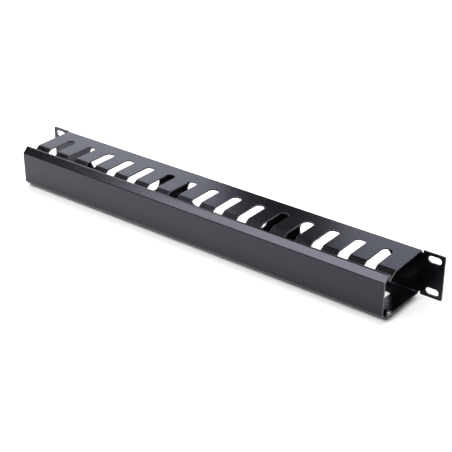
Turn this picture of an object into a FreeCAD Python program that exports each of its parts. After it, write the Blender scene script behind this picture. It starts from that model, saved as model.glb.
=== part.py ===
"""A 1U horizontal cable manager for a 19-inch rack, with a duct of fingers and a cover.

It is two pieces of folded steel sheet. The body is one blank: a back panel with three
large windows and two slotted ears, and an upper and a lower flange that are each cut
into a row of fingers. Every finger ends in a trough with an upturned hook. The cover is
the second blank: a flat face with two lips that lean out and fold back inwards, so that
their edges drop into the troughs behind the hooks.

Millimetres. +X runs along the rack, +Y into it, +Z up. The origin is the middle of the
rear face of the ears, which is the face that lies on the rack's rails.
"""
import FreeCAD, Part

import math
import os

from FreeCAD import Vector

os.makedirs("parts", exist_ok=True)

# ---- the sheet --------------------------------------------------------------------
body_sheet = 1.5             # thickness of the body's sheet
cover_sheet = 1.5            # thickness of the cover's sheet
fold_radius = 0.8            # inside radius of the body's four long bends
trough_radius = 0.8          # inside radius at the bottom of a finger's trough
cover_face_radius = 0.8      # inside radius between the cover's face and its lips
cover_lip_radius = 0.4       # inside radius of the sharp fold along each lip

# ---- the ears, to the rack's standard ------------------------------------------------
rack_width = 482.6           # over both ears
ear_height = 44.45           # one rack unit
ear_length = 23.3            # of the flat beyond the end of the duct
ear_slot_inset = 10.0        # from an ear's outer edge to the middle of its slots
ear_slot_spacing = 31.75     # between the two slots of one ear
ear_slot_length = 13.0
ear_slot_height = 6.5
ear_corner_radius = 1.5
relief_width = 1.6           # of the notch that lets the flange fold beside the ear
relief_past_fold = 0.5       # how far that notch goes on past the end of the fold

# ---- the duct ---------------------------------------------------------------------
flange_depth = 46.0          # from the rear face to the fold where the fingers turn in
flange_lean = 1.0            # degrees that the flanges close up towards the front
finger_reach = 9.3           # how far a finger goes on forwards past that fold
finger_drop = 6.2            # how far it turns in on the way
hook_reach = 2.0             # how far the hook leans forwards
hook_rise = 4.6              # how far it turns back out

# ---- the openings -------------------------------------------------------------------
slot_count = 15              # cable slots in each flange
slot_width = 10.8
end_finger_width = 18.0      # of the finger at each end of the duct
slot_rear = 17.0             # from the rear face to the closed end of a slot
slot_end_radius = 4.5        # of its rounded corners there
window_count = 3             # windows in the back panel
window_slot_step = 5         # slot pitches from one window to the next
window_bridge = 38.0         # of back panel left between two windows
window_height = 30.0         # each end of a window is a half circle of this height

# ---- the cover ----------------------------------------------------------------------
cover_overhang = 3.0         # how much longer than the duct it is at each end
cover_shift = -3.0           # how far it has been slid along from the middle
hook_clearance = 0.35        # between a return edge and the hook in front of it
fold_above_hook = 2.25       # how far the fold of a lip lies above the hook's end
return_length = 5.4          # of the edge that is folded back into the trough
return_angle = 50.0          # degrees between that edge and the flanges
lip_reach = 6.0              # how far forwards a lip runs from its fold to the face
lip_drop = 5.8               # how far it closes in on the way

# ---- what follows from these -----------------------------------------------------------
half_width = rack_width / 2
half_height = ear_height / 2
half_length = half_width - ear_length
relief_depth = body_sheet + fold_radius + relief_past_fold
body_length = 2 * half_length
cover_length = body_length + 2 * cover_overhang
slot_pitch = (body_length - 2 * end_finger_width - slot_width) / (slot_count - 1)
window_pitch = window_slot_step * slot_pitch
window_length = window_pitch - window_bridge


def unit(vector):
    return vector * (1.0 / vector.Length)


def turned_left(vector):
    """A quarter turn to the left in a section, where Y runs right and Z up."""
    return Vector(0, -vector.z, vector.y)


def offset_corners(corners, distance):
    """The corners where the runs of an open outline meet when each moves sideways."""
    runs = [unit(b - a) for a, b in zip(corners, corners[1:])]
    befores = [runs[0]] + runs
    afters = runs + [runs[-1]]
    moved = []
    for corner, before, after in zip(corners, befores, afters):
        left_before = turned_left(before)
        left_after = turned_left(after)
        shift = distance / (1.0 + left_before.dot(left_after))
        moved.append(corner + (left_before + left_after) * shift)
    return moved


def rounded_edges(corners, radii):
    """Straight runs joined by tangent arcs, with one radius for each inner corner."""
    edges = []
    start = corners[0]
    for before, corner, after, radius in zip(corners, corners[1:], corners[2:], radii):
        incoming = unit(corner - before)
        outgoing = unit(after - corner)
        half_turn = incoming.getAngle(outgoing) / 2
        arc_start = corner - incoming * (radius * math.tan(half_turn))
        arc_end = corner + outgoing * (radius * math.tan(half_turn))
        to_arc = unit(outgoing - incoming) * (radius / math.cos(half_turn) - radius)
        edges.append(Part.LineSegment(start, arc_start).toShape())
        edges.append(Part.Arc(arc_start, corner + to_arc, arc_end).toShape())
        start = arc_end
    edges.append(Part.LineSegment(start, corners[-1]).toShape())
    return edges


def folded_section(middle, inside_radii, sheet):
    """The section of a folded sheet, from the corners of the line through its middle."""
    runs = [b - a for a, b in zip(middle, middle[1:])]
    folds_left = [turned_left(a).dot(b) > 0 for a, b in zip(runs, runs[1:])]
    sides = []
    for side in (1, -1):
        radii = [inside if left == (side > 0) else inside + sheet
                 for inside, left in zip(inside_radii, folds_left)]
        corners = offset_corners(middle, side * sheet / 2)
        sides.append((corners, rounded_edges(corners, radii)))
    (left, left_edges), (right, right_edges) = sides
    ends = [Part.LineSegment(left[index], right[index]).toShape() for index in (0, -1)]
    outline = Part.Wire(Part.__sortEdges__(left_edges + right_edges + ends))
    return Part.Face(outline)


def pulled_along_x(section, length):
    """A section pulled out by half the length to each side."""
    section.translate(Vector(-length / 2, 0, 0))
    return section.extrude(Vector(length, 0, 0))


def with_lower_half(corners):
    """The corners of an upper half, run on through its mirror image below."""
    return corners + [Vector(c.x, c.y, -c.z) for c in reversed(corners)]


def plate(x_low, x_high, z_low, z_high, thickness):
    """A flat plate whose rear face is the origin's plane."""
    corner = Vector(x_low, -thickness, z_low)
    return Part.makeBox(x_high - x_low, thickness, z_high - z_low, corner)


def with_round_corners(solid, direction, radius, chosen=lambda point: True):
    """The solid with its chosen edges along one direction rounded."""
    edges = [edge for edge in solid.Edges
             if abs(edge.tangentAt(edge.FirstParameter).dot(direction)) > 0.99
             and chosen(edge.CenterOfMass)]
    return solid.makeFillet(radius, edges)


def round_ended_cutter(x, z, length, height):
    """A cutter through the back panel's plane: a straight middle between two half circles."""
    radius = height / 2
    straight = length - height
    depth = 3 * body_sheet
    front = -2 * body_sheet
    middle = Part.makeBox(straight, depth, height,
                          Vector(x - straight / 2, front, z - radius))
    ends = [Part.makeCylinder(radius, depth, Vector(x + side * straight / 2, front, z),
                              Vector(0, 1, 0)) for side in (1, -1)]
    return middle.fuse(ends)


def row(count, pitch):
    """The places of evenly spaced things about the middle."""
    return [(index - (count - 1) / 2) * pitch for index in range(count)]


# ---- the body's middle line, from the upper hook to the back panel -------------------
flange_rear = Vector(0, -body_sheet / 2, half_height - body_sheet / 2)
lean_drop = (flange_depth - body_sheet / 2) * math.tan(math.radians(flange_lean))
front_fold = Vector(0, -flange_depth, flange_rear.z - lean_drop)
trough = front_fold + Vector(0, -finger_reach, -finger_drop)
hook_end = trough + Vector(0, -hook_reach, hook_rise)


def make_ear():
    """The right ear, with the neck that joins it to the back panel between two notches."""
    ear_start = half_length + relief_width
    ear_middle = (ear_start + half_width) / 2
    neck_half_height = half_height - relief_depth
    ear = plate(ear_start, half_width, -half_height, half_height, body_sheet)
    ear = with_round_corners(ear, Vector(0, 1, 0), ear_corner_radius,
                             lambda point: point.x > ear_middle)
    neck = plate(half_length, ear_start, -neck_half_height, neck_half_height, body_sheet)
    slot_x = half_width - ear_slot_inset
    slots = [round_ended_cutter(slot_x, z, ear_slot_length, ear_slot_height)
             for z in (ear_slot_spacing / 2, -ear_slot_spacing / 2)]
    return ear.cut(slots).fuse(neck)


def make_cable_slots():
    """Cutters for the slots between the fingers, through both flanges and open in front."""
    front = hook_end.y - body_sheet
    middle = (front - slot_rear) / 2
    length = -slot_rear - front
    cutters = []
    for x in row(slot_count, slot_pitch):
        slot = Part.makeBox(slot_width, length, 2 * ear_height,
                            Vector(x - slot_width / 2, front, -ear_height))
        cutters.append(with_round_corners(slot, Vector(0, 0, 1), slot_end_radius,
                                          lambda point: point.y > middle))
    return cutters


def make_windows():
    """Cutters for the windows in the back panel, each centred behind a slot."""
    return [round_ended_cutter(x, 0, window_length, window_height)
            for x in row(window_count, window_pitch)]


def make_body():
    """The folded blank of the body: channel, ears, fingers and windows in one sheet."""
    middle = with_lower_half([hook_end, trough, front_fold, flange_rear])
    radii = [trough_radius, fold_radius, fold_radius]
    section = folded_section(middle, radii + radii[::-1], body_sheet)
    channel = pulled_along_x(section, body_length)
    ear = make_ear()
    other_ear = ear.mirror(Vector(0, 0, 0), Vector(1, 0, 0))
    blank = channel.fuse([ear, other_ear])
    return blank.cut(make_cable_slots() + make_windows()).removeSplitter()


def make_cover():
    """The folded blank of the cover, its return edges set behind the body's hooks."""
    hook_run = unit(hook_end - trough)
    hook_rear_corner = hook_end - turned_left(hook_run) * (body_sheet / 2)
    angle = math.radians(return_angle)
    return_run = Vector(0, math.cos(angle), -math.sin(angle))
    beside_hook = hook_rear_corner + turned_left(return_run) * (hook_clearance
                                                                 + cover_sheet / 2)
    lip_fold = beside_hook - return_run * fold_above_hook
    return_end = lip_fold + return_run * return_length
    face_bend = lip_fold + Vector(0, -lip_reach, -lip_drop)
    middle = with_lower_half([return_end, lip_fold, face_bend])
    radii = [cover_lip_radius, cover_face_radius]
    section = folded_section(middle, radii + radii[::-1], cover_sheet)
    cover = pulled_along_x(section, cover_length)
    cover.translate(Vector(cover_shift, 0, 0))
    return cover


for name, solid in (("duct_body", make_body()), ("cover", make_cover())):
    solid.exportStep("parts/" + name + ".step")
    box = solid.BoundBox
    print(name, "solids", len(solid.Solids), "valid", solid.isValid(),
          "volume %.0f" % solid.Volume, "size %.2f x %.2f x %.2f"
          % (box.XLength, box.YLength, box.ZLength))
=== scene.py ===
# %% [markdown]
# # A horizontal cable manager for a rack
# The real object is two strips of folded steel, powder coated black. The duct is a long channel
# with a mounting ear at each end, slots for the cables along both flanges and three windows in
# its back. The cover is a second strip, which clips over the hooks on the ends of the fingers.
# The CAD frame already holds both shapes. This file gives them the edges and the finish that
# paint and punching leave, and then a floor, a studio and a camera. Lengths are in metres.

# %% Load the frame
import math
import bpy
from mathutils import Matrix, Vector


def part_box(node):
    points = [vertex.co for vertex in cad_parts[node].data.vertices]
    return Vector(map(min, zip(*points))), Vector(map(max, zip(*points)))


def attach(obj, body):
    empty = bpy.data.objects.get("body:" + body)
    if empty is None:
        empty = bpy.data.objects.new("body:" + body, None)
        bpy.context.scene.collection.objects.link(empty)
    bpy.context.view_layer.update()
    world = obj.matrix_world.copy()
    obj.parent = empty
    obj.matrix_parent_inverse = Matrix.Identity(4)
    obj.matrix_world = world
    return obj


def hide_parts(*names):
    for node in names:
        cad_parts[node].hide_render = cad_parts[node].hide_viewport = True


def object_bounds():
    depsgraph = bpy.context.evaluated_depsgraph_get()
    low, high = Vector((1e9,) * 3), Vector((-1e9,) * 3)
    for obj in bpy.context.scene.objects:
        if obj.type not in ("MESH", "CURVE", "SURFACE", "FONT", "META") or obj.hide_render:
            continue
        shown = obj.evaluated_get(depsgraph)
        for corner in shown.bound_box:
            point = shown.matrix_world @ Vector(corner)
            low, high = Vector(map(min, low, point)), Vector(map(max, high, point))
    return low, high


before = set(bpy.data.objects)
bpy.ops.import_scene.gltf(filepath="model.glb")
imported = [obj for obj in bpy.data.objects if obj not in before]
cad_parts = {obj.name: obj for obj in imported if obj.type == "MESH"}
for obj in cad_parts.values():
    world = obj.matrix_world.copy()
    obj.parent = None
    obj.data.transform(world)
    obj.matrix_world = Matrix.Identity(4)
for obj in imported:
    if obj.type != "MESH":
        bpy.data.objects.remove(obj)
cad_low, cad_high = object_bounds()
for node_name in sorted(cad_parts):
    low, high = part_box(node_name)
    print(node_name, "spans", [round(side * 1000, 1) for side in high - low], "mm")

# %% [markdown]
# ## Steel edges under paint
# A laser or a punch leaves a square edge on steel sheet, but powder coat can't cover a square
# edge. As it melts it draws back into a small round, and that round is what catches the light
# as a thin bright line. A bevel in the shader would show it in one renderer only, so here each
# piece is a merged copy of its CAD mesh with a real bevel along every sharp edge. An edge is
# sharp from 40 degrees up, which leaves out the small steps between the facets of a fold.

# %% Sizes of the paint
COAT_ROUND = 0.00022
ROUND_STEPS = 2
ROUND_PROFILE = 0.5
MERGE_DISTANCE = 0.000001
FLAT_ANGLE = math.radians(0.5)
SHARP_ANGLE = math.radians(40)
SMOOTH_ANGLE = math.radians(50)
RIM = "rim"


def select_only(piece):
    """Leaves one object selected and active, so that an operator acts on nothing else."""
    bpy.ops.object.select_all(action="DESELECT")
    piece.select_set(True)
    bpy.context.view_layer.objects.active = piece


# %% [markdown]
# The copy is merged first, because an imported mesh is loose triangles with no shared edges.
# Then the flat faces are dissolved into whole outlines, so that the bevel meets each outline
# once, and the sharp edges are picked by the angle between their faces. The bevel leaves its own
# faces selected, and these are remembered in an attribute that the paint reads later.

# %% A helper that makes a painted copy of a folded sheet
def painted_copy(node_name, piece_name):
    """A merged copy of a CAD node whose sharp edges are rounded as the coat rounds them."""
    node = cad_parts[node_name]
    piece = bpy.data.objects.new(piece_name, node.data.copy())
    bpy.context.scene.collection.objects.link(piece)
    select_only(piece)
    bpy.ops.object.mode_set(mode="EDIT")
    bpy.ops.mesh.select_all(action="SELECT")
    bpy.ops.mesh.customdata_custom_splitnormals_clear()
    bpy.ops.mesh.remove_doubles(threshold=MERGE_DISTANCE)
    bpy.ops.mesh.dissolve_limited(angle_limit=FLAT_ANGLE)
    bpy.ops.mesh.select_mode(type="EDGE")
    bpy.ops.mesh.select_all(action="DESELECT")
    bpy.ops.mesh.edges_select_sharp(sharpness=SHARP_ANGLE)
    bpy.ops.mesh.bevel(offset=COAT_ROUND, segments=ROUND_STEPS, profile=ROUND_PROFILE,
                       affect="EDGES", clamp_overlap=False)
    bpy.ops.mesh.select_mode(type="FACE")
    bpy.ops.object.mode_set(mode="OBJECT")
    rim = piece.data.attributes.new(RIM, "FLOAT", "FACE")
    for face in piece.data.polygons:
        rim.data[face.index].value = 1.0 if face.select else 0.0
    rounded = sum(face.select for face in piece.data.polygons)
    print(piece_name, "has", len(piece.data.polygons), "faces,", rounded, "of them on rounds")
    return piece


# %% [markdown]
# Long flat faces beside a narrow round would look swollen if their normals were averaged with
# it. Weighted normals let the large face win, so it stays flat and only the round is smooth.

# %% A helper that smooths the rounds and keeps the flats flat
def smooth_rounds(piece):
    """Smooth shading over the rounds, with normals that keep the flat faces flat."""
    select_only(piece)
    bpy.ops.object.shade_smooth_by_angle(angle=SMOOTH_ANGLE)
    weighting = piece.modifiers.new("flat_faces", "WEIGHTED_NORMAL")
    weighting.keep_sharp = True
    bpy.ops.object.modifier_apply(modifier=weighting.name)


# %% [markdown]
# Each painted copy stands for its CAD node, which is hidden. It rides on the same body, as a
# child of an empty named for that body.

# %% The two painted pieces
duct = painted_copy("duct_body", "painted_duct")
smooth_rounds(duct)
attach(duct, "body")
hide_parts("duct_body")

cover = painted_copy("cover", "painted_cover")
smooth_rounds(cover)
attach(cover, "cover")
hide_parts("cover")


# %% [markdown]
# ## Shader sums as plain expressions
# A finish mixes a few noises. Written node by node that is hard to read, so one small class
# wraps a socket and turns sums on it into Math nodes. Every other node comes from one method
# of a second class, which starts a material's or a world's node tree from nothing.

# %% The helper classes for node trees
class Wire:
    """A node's output, which can be used in a sum such as 1 - mask."""

    def __init__(self, finish, socket):
        self.finish = finish
        self.socket = socket

    def maths(self, operation, first, second):
        return self.finish.node("Math", {"operation": operation}, {0: first, 1: second})

    def __add__(self, other):
        return self.maths("ADD", self, other)

    def __sub__(self, other):
        return self.maths("SUBTRACT", self, other)

    def __rsub__(self, other):
        return self.maths("SUBTRACT", other, self)

    def __mul__(self, other):
        return self.maths("MULTIPLY", self, other)

    __radd__ = __add__
    __rmul__ = __mul__

    def at_least(self, other):
        return self.maths("MAXIMUM", self, other)

    def at_most(self, other):
        return self.maths("MINIMUM", self, other)


class Finish:
    """The node tree of a new material or world."""

    def __init__(self, owner):
        self.owner = owner
        owner.use_nodes = True
        self.tree = owner.node_tree
        self.tree.nodes.clear()

    def node(self, kind, settings=None, sockets=None, output=0):
        """Adds a node, sets it, fills or links its sockets, and gives one output back."""
        made = self.tree.nodes.new("ShaderNode" + kind)
        for name, value in (settings or {}).items():
            setattr(made, name, value)
        for name, value in (sockets or {}).items():
            if isinstance(value, Wire):
                self.tree.links.new(value.socket, made.inputs[name])
            else:
                made.inputs[name].default_value = value
        if not made.outputs:
            return made
        return Wire(self, made.outputs[output])


# %% [markdown]
# ## Black powder coat
# Powder coat is sprayed on dry and baked. It comes out satin, with a faint pebbled skin called
# orange peel, about three millimetres from bump to bump, and a much finer grain over it. The
# film is a little thicker here and thinner there, which shifts its gloss more than its colour.
# On a round edge it is thin, so the metal greys it, and the rounds are painted a light grey that
# is partly this thin coat and partly a painted highlight along the edges. The noise is on Object
# coordinates, so the grain has its real size on both pieces. The bump is kept low: a higher one
# looks like leather from the front, and blurs what the satin mirrors. A Mix node has sockets of
# the same names for numbers, vectors and colours, so its colour sockets are picked by their
# number.

# %% Colours and sizes of the coat
COAT_BLACK = (0.0040, 0.0040, 0.0052, 1.0)
# The rounds' light grey is partly the thin coat and partly a painted highlight along the edges.
THIN_COAT_AND_PAINTED_HIGHLIGHT = (0.200, 0.200, 0.215, 1.0)
COAT_TINT = (0.82, 0.83, 1.0, 1.0)
COAT_SHINE = 0.50
PEEL_SCALE, PEEL_DETAIL = 320.0, 1.0
GRAIN_SCALE, GRAIN_DETAIL = 2400.0, 2.0
DRIFT_SCALE, DRIFT_DETAIL = 14.0, 3.0
NOISE_MIDDLE = 0.5
SATIN_ROUGHNESS = 0.225
DRIFT_IN_GLOSS, PEEL_IN_GLOSS, RIM_IN_GLOSS = 0.06, 0.08, 0.08
GRAIN_SHARE = 0.06
BUMP_STRENGTH, BUMP_HEIGHT = 0.7, 0.00010
DUCT_OFFSET, COVER_OFFSET = 0.0, 3.0
COLOUR_A, COLOUR_B, COLOUR_RESULT = 6, 7, 2


# %% The powder coat
def powder_coat(name, offset):
    """Satin black powder coat, with its own place in the noise."""
    finish = Finish(bpy.data.materials.new(name))
    place = finish.node("TexCoord", output="Object")
    moved = finish.node("Mapping", {}, {"Vector": place, "Location": (offset, offset, offset)})
    rim = finish.node("Attribute", {"attribute_name": RIM}, output="Fac")

    def noise(scale, detail):
        """One of the coat's noises, from 0 to 1."""
        return finish.node("TexNoise", {}, {"Vector": moved, "Scale": scale, "Detail": detail})

    peel = noise(PEEL_SCALE, PEEL_DETAIL)
    grain = noise(GRAIN_SCALE, GRAIN_DETAIL)
    drift = noise(DRIFT_SCALE, DRIFT_DETAIL)
    roughness = (SATIN_ROUGHNESS + (drift - NOISE_MIDDLE) * DRIFT_IN_GLOSS
                 + (peel - NOISE_MIDDLE) * PEEL_IN_GLOSS + rim * RIM_IN_GLOSS)
    # On the rim faces the black turns to the rounds' grey, partly thin coat and partly a painted
    # highlight.
    coat_colour_and_painted_highlight = finish.node("Mix", {"data_type": "RGBA"}, {
        "Factor": rim,
        COLOUR_A: COAT_BLACK,
        COLOUR_B: THIN_COAT_AND_PAINTED_HIGHLIGHT,
    }, COLOUR_RESULT)
    bump = finish.node("Bump", {}, {
        "Height": peel * (1 - GRAIN_SHARE) + grain * GRAIN_SHARE,
        "Strength": BUMP_STRENGTH,
        "Distance": BUMP_HEIGHT,
    })
    paint = finish.node("BsdfPrincipled", {}, {
        "Base Color": coat_colour_and_painted_highlight,
        "Roughness": roughness,
        "Specular Tint": COAT_TINT,
        "Specular IOR Level": COAT_SHINE,
        "Normal": bump,
    })
    finish.node("OutputMaterial", {}, {"Surface": paint})
    return finish.owner


def paint_piece(piece, material):
    """Gives a piece one material in place of the plain one it may have been imported with."""
    piece.data.materials.clear()
    piece.data.materials.append(material)
    print(piece.name, "is finished in", material.name)


paint_piece(duct, powder_coat("duct_powder_coat", DUCT_OFFSET))
paint_piece(cover, powder_coat("cover_powder_coat", COVER_OFFSET))

# %% [markdown]
# ## Floor
# The floor is plain white paper. Lamps strong enough to turn paper pure white would also wash
# out a black part, so the lamps stay soft, and the paper adds a glow of its own that only the
# camera and mirrored rays see. The glow has to know how far a point is from the part, so the
# part's footprint is measured first. In front it ends at the cover's lower fold, which nearly
# touches the floor a little behind the cover's face.

# %% The floor and the part's footprint on it
FLOOR_SIDE = 12.0
FLOOR_WHITE = (0.95, 0.95, 0.95, 1.0)
LIP_UNDERCUT = 0.0066

bpy.ops.object.select_all(action="DESELECT")
bpy.ops.mesh.primitive_plane_add(size=FLOOR_SIDE, location=(0, 0, cad_low.z))
floor = bpy.context.object
floor.name = "floor"

cover_low, cover_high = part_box("cover")
footprint_low = Vector((cover_low.x, cad_low.y + LIP_UNDERCUT, 0))
footprint_high = Vector((cover_high.x, cad_high.y, 0))
footprint_middle = (footprint_low + footprint_high) / 2
footprint_half = (footprint_high - footprint_low) / 2
print("footprint", [round(side * 1000, 1) for side in footprint_half * 2], "mm")

# %% [markdown]
# The distances are worked out on Object coordinates, so the glow stays where it is when the
# camera moves. The position is folded into one quarter of the footprint and its half size is
# taken off. What is left above zero in X and Y is the way out to the point, and where both are
# below zero the larger of them is the way in from the nearest side.

# %% Distances from the footprint
sweep = Finish(bpy.data.materials.new("white_sweep"))
place = sweep.node("TexCoord", output="Object")
along_length = sweep.node("SeparateXYZ", {}, {"Vector": place}, "X")
along_depth = sweep.node("SeparateXYZ", {}, {"Vector": place}, "Y")


def vector_maths(operation, first, second=(0, 0, 0), output="Vector"):
    """A Vector Math node, whose second vector stays at zero where only one is used."""
    return sweep.node("VectorMath", {"operation": operation}, {0: first, 1: second}, output)


centred = vector_maths("SUBTRACT", place, footprint_middle)
folded = vector_maths("ABSOLUTE", centred)
beyond = vector_maths("SUBTRACT", folded, footprint_half)
outside = vector_maths("MAXIMUM", beyond, (0, 0, 0))
outward = vector_maths("LENGTH", outside, output="Value")
beyond_end = sweep.node("SeparateXYZ", {}, {"Vector": beyond}, "X")
beyond_side = sweep.node("SeparateXYZ", {}, {"Vector": beyond}, "Y")
inward = beyond_end.at_least(beyond_side).at_most(0.0)

# %% [markdown]
# What the camera sees glows only a few centimetres off the front and the ends, so the paper
# close to them keeps the contact shadow of the lamps. This glow comes on quicker off the ends,
# and slower towards the left, where the lamps light the paper more. It is also on inside the
# outline, where the slots look through on to the paper, and behind the part. What the coat
# mirrors comes on slower and only outside the outline, so the inside of the duct stays dark.
# A last, wide glow makes the paper pure white far out for both.

# %% The glow of the floor
SEEN_FULL, SEEN_GLOW = 0.024, 0.62
INSIDE_PACE, END_PACE = 4.0, 3.0
LEFT_PACE, RIGHT_PACE = 0.36, 1.05
BACK_EDGE, BACK_FULL, BACK_GLOW = -0.015, 0.0, 0.80
MIRRORED_FULL, MIRRORED_GLOW = 0.045, 0.64
FAR_EDGE, FAR_FULL, FAR_GLOW = 0.15, 0.60, 0.50


def fade_in(distance, start, full, strength):
    """A glow that starts at one distance and has its full strength at another."""
    return sweep.node("MapRange", {"interpolation_type": "SMOOTHSTEP"}, {
        "Value": distance,
        "From Min": start,
        "From Max": full,
        "To Max": strength,
    })


direct = sweep.node("LightPath", output="Is Camera Ray")
mirrored = sweep.node("LightPath", output="Is Glossy Ray")
stretched = vector_maths("MULTIPLY", outside, (END_PACE, 1, 1))
quick_ends = vector_maths("LENGTH", stretched, output="Value")
pace = sweep.node("MapRange", {}, {
    "Value": along_length,
    "From Min": footprint_low.x,
    "From Max": footprint_high.x,
    "To Min": LEFT_PACE,
    "To Max": RIGHT_PACE,
})
from_outline = (quick_ends - inward * INSIDE_PACE) * pace
around = fade_in(from_outline, 0.0, SEEN_FULL, SEEN_GLOW)
behind = fade_in(along_depth, BACK_EDGE, BACK_FULL, BACK_GLOW)
seen = around.at_least(behind) * direct
reflected = fade_in(outward, 0.0, MIRRORED_FULL, MIRRORED_GLOW) * mirrored
far = fade_in(outward, FAR_EDGE, FAR_FULL, FAR_GLOW) * (direct + mirrored)

# %% [markdown]
# The paper itself is a plain matt white, and the glow is added to it. The sum of the three
# glows goes in as the light's colour, which makes it a grey of that strength.

# %% The floor's paper
paper = sweep.node("BsdfDiffuse", {}, {"Color": FLOOR_WHITE})
glow = sweep.node("Emission", {}, {"Color": seen + reflected + far, "Strength": 1.0})
lit = sweep.node("AddShader", {}, {0: paper, 1: glow})
sweep.node("OutputMaterial", {}, {"Surface": lit})
paint_piece(floor, sweep.owner)

# %% [markdown]
# ## The room and its lamps
# A black part is drawn by what it mirrors, so the room is dim. Only the camera sees its
# background as white. The lamps are soft boxes, each where one face of the part mirrors it.

# %% The room
ROOM_LEVEL = 0.03
WHITE_LEVEL = 1.0
studio = Finish(bpy.data.worlds.new("studio"))
seen_room = studio.node("LightPath", output="Is Camera Ray")
background = studio.node("Background", {}, {
    "Color": (1, 1, 1, 1),
    "Strength": seen_room * (WHITE_LEVEL - ROOM_LEVEL) + ROOM_LEVEL,
})
studio.node("OutputWorld", {}, {"Surface": background})
bpy.context.scene.world = studio.owner
print("the room gives", ROOM_LEVEL, "of white all round")

# %% [markdown]
# A large box high in front lights the cover's upper lip and the paper, and a smaller one
# close in front of it adds to one stretch of the lip. Two cool panels stand behind: the duct's
# top mirrors them, and the gap between them shades its middle. A box high behind on the left
# draws the thin line along the folds, and one on the right lights the cut ends there.

# %% The lamps
DAYLIGHT = (1.0, 1.0, 1.0)
COOL = (0.86, 0.88, 1.0)


def soft_box(name, place, target, width, height, brightness, colour=DAYLIGHT):
    """A rectangular area lamp at a place, turned to face a target."""
    lamp = bpy.data.lights.new(name, "AREA")
    lamp.shape = "RECTANGLE"
    lamp.size = width
    lamp.size_y = height
    lamp.energy = brightness * math.pi * width * height
    lamp.color = colour
    holder = bpy.data.objects.new(name, lamp)
    holder.location = place
    away = Vector(place) - Vector(target)
    holder.rotation_euler = away.to_track_quat("Z", "Y").to_euler()
    holder.visible_camera = False
    bpy.context.scene.collection.objects.link(holder)
    print(name, "gives", round(lamp.energy, 1), "W")


soft_box("overhead_box", place=(-0.255, -0.64, 0.76), target=(-0.04, 0, 0),
         width=1.0, height=0.54, brightness=6.2)
soft_box("lip_box", place=(-0.33, -0.62, 0.75), target=(-0.08, 0, 0),
         width=0.36, height=0.50, brightness=1.2)
soft_box("left_panel", place=(-0.83, 0.62, 0.45), target=(-0.83, 0.0, 0.45),
         width=0.65, height=0.8, brightness=1.9, colour=COOL)
soft_box("rear_panel", place=(-0.035, 0.66, 0.45), target=(-0.035, 0.0, 0.45),
         width=0.50, height=0.8, brightness=1.6, colour=COOL)
soft_box("fold_box", place=(-0.72, 0.17, 0.76), target=(-0.72, 0.17, 0.0),
         width=0.46, height=0.42, brightness=4.6)
soft_box("right_box", place=(1.1, 0.0, 0.5), target=(0, 0, 0),
         width=0.5, height=0.5, brightness=1.4)

# %% [markdown]
# ## Camera
# The camera stands in front, to the right and above, as far off as a studio camera would be.
# Its place is given by angles and a distance from a point near the foot of the part's back.

# %% The camera
VIEW_AZIMUTH = math.radians(38.03)
VIEW_ELEVATION = math.radians(27.37)
VIEW_ROLL = math.radians(0.11)
VIEW_DISTANCE = 1.1078
VIEW_TARGET = Vector((-0.0013, 0.0, -0.0253))
FOCAL_LENGTH = 87.71
SENSOR = 36.0

back = Vector((
    math.sin(VIEW_AZIMUTH) * math.cos(VIEW_ELEVATION),
    -math.cos(VIEW_AZIMUTH) * math.cos(VIEW_ELEVATION),
    math.sin(VIEW_ELEVATION),
))
lens = bpy.data.cameras.new("camera")
lens.sensor_width = SENSOR
lens.lens = FOCAL_LENGTH
camera = bpy.data.objects.new("camera", lens)
camera.location = VIEW_TARGET + back * VIEW_DISTANCE
aim = (-back).to_track_quat("-Z", "Y").to_matrix()
camera.rotation_euler = (aim @ Matrix.Rotation(VIEW_ROLL, 3, "Z")).to_euler()
bpy.context.scene.collection.objects.link(camera)
bpy.context.scene.camera = camera
bpy.context.scene.view_settings.view_transform = "Standard"
print("the camera stands", round(camera.location.z - cad_low.z, 3), "m above the floor")
